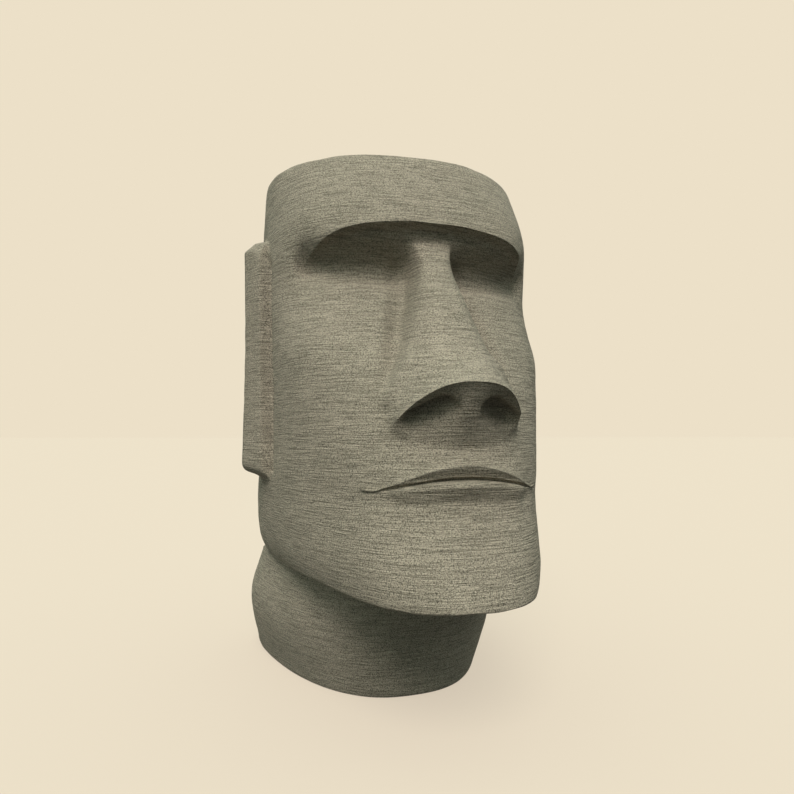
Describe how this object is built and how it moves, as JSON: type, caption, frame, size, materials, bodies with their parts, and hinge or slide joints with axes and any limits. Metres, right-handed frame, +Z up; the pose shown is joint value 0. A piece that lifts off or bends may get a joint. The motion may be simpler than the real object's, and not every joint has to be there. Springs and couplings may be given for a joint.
{
  "type": "moai stone head statue",
  "caption": "Tall standing stone head with a flat crown, heavy straight brow, deep eye sockets, long nose, closed mouth and long ears, on a short neck with a flat underside.",
  "frame": {"origin": "middle of the flat underside of the neck", "axes": "+Z up; the face looks along -Y; +X is to the left hand of the face"},
  "size_m": [0.1498, 0.1986, 0.24],
  "materials": {
    "stone": "matt, finely tooled in level lines"
  },
  "bodies": {
    "root": {"head": "stone"}
  },
  "joints": []
}
